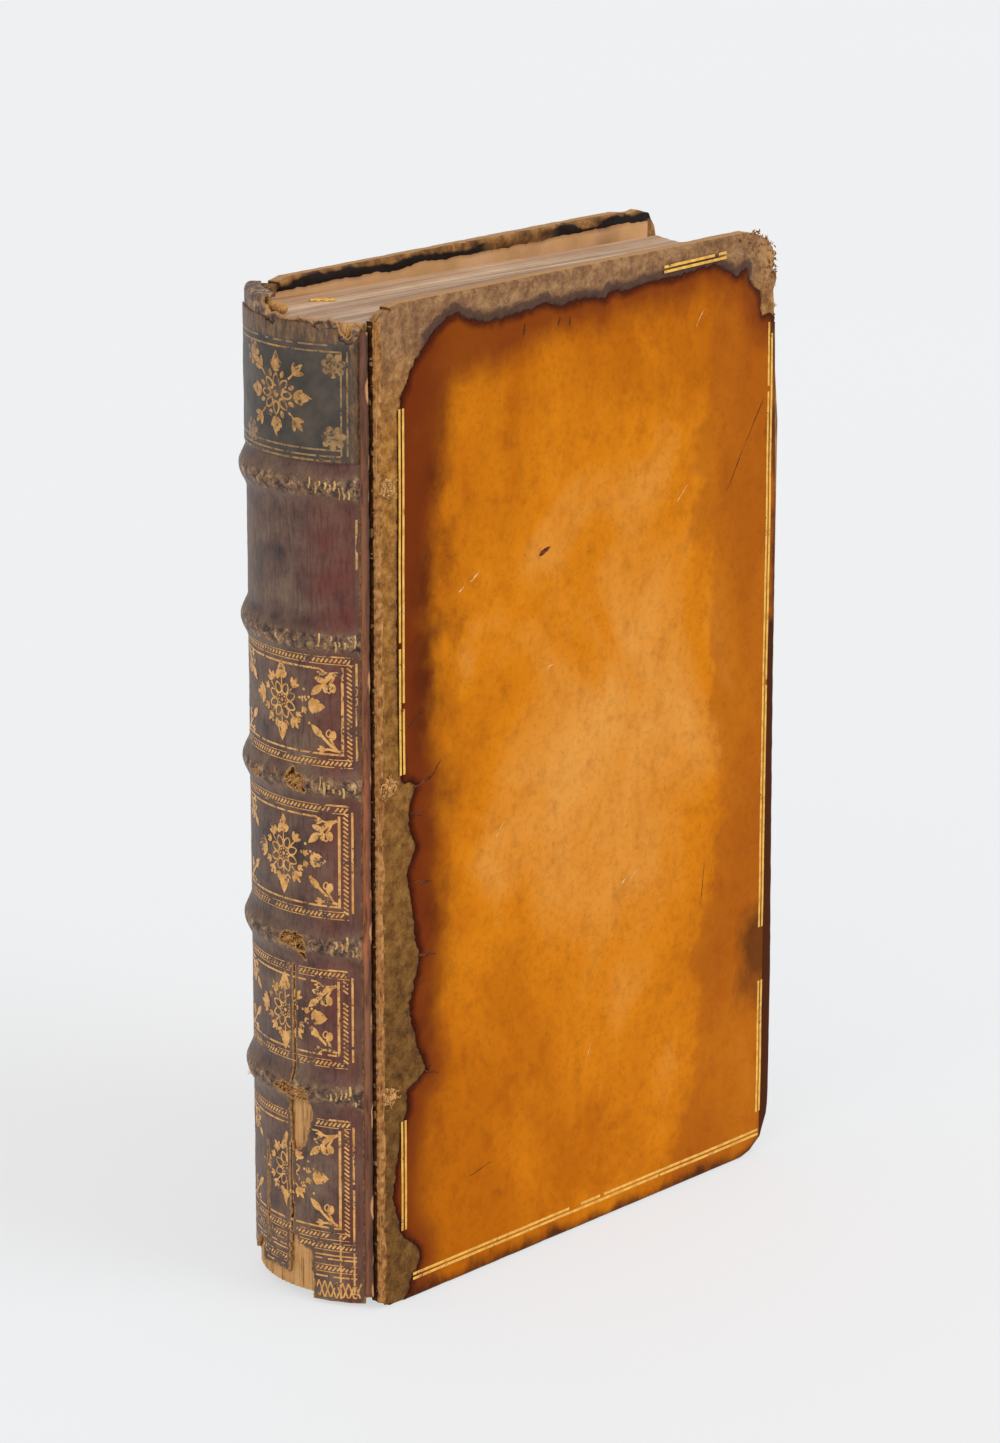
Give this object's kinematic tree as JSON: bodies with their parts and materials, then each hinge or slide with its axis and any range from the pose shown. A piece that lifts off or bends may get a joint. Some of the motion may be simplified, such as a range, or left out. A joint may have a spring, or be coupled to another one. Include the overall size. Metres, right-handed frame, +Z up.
{
  "type": "antique leather book",
  "caption": "Worn leather-bound octavo book standing on its tail, with raised bands, gilt spine panels and two hinged boards.",
  "frame": {"origin": "middle of the standing book's footprint, at the height of the boards' tail edges", "axes": "+Z up along the spine from tail to head, -X out of the spine, +X towards the fore-edge, -Y out of the front board"},
  "size_m": [0.1276, 0.0394, 0.2],
  "materials": {
    "leaves": "matte, greyed leaf edges",
    "cord": "frayed linen",
    "spine_calf": "dark worn calf",
    "label_morocco": "black, slightly glossy",
    "gold_leaf": "worn gold leaf",
    "pasteboard": "matte pasteboard",
    "cover_calf": "polished tan calf, worn at the edges",
    "endpaper": "matte, browned"
  },
  "bodies": {
    "text_block": {"text_block": "leaves", "endband_core": "cord", "spine_leather": "spine_calf", "title_label": "label_morocco", "title_label_gilding": "gold_leaf", "sewing_cord_1": "cord", "sewing_cord_2": "cord", "sewing_cord_3": "cord", "sewing_cord_4": "cord", "sewing_cord_5": "cord", "spine_gilding_3": "gold_leaf", "spine_gilding_4": "gold_leaf", "spine_gilding_5": "gold_leaf", "spine_gilding_6": "gold_leaf"},
    "front_cover": {"front_board": "pasteboard", "front_cover_leather": "cover_calf", "front_pastedown": "endpaper", "front_gilt_rules": "gold_leaf", "front_cord_slip_1": "cord", "front_cord_slip_3": "cord", "front_cord_slip_5": "cord"},
    "rear_cover": {"rear_board": "pasteboard", "rear_cover_leather": "cover_calf", "rear_pastedown": "endpaper", "rear_cord_slip_1": "cord", "rear_cord_slip_3": "cord", "rear_cord_slip_5": "cord"}
  },
  "joints": [
    {"name": "front_cover_hinge", "type": "hinge", "parent": "text_block", "child": "front_cover", "pos_m": [-0.05615, -0.01875, 0], "axis": [0, 0, -1], "range_deg": [0, 150]},
    {"name": "rear_cover_hinge", "type": "hinge", "parent": "text_block", "child": "rear_cover", "pos_m": [-0.05315, 0.01875, 0], "axis": [0, 0, 1], "range_deg": [0, 150]}
  ]
}
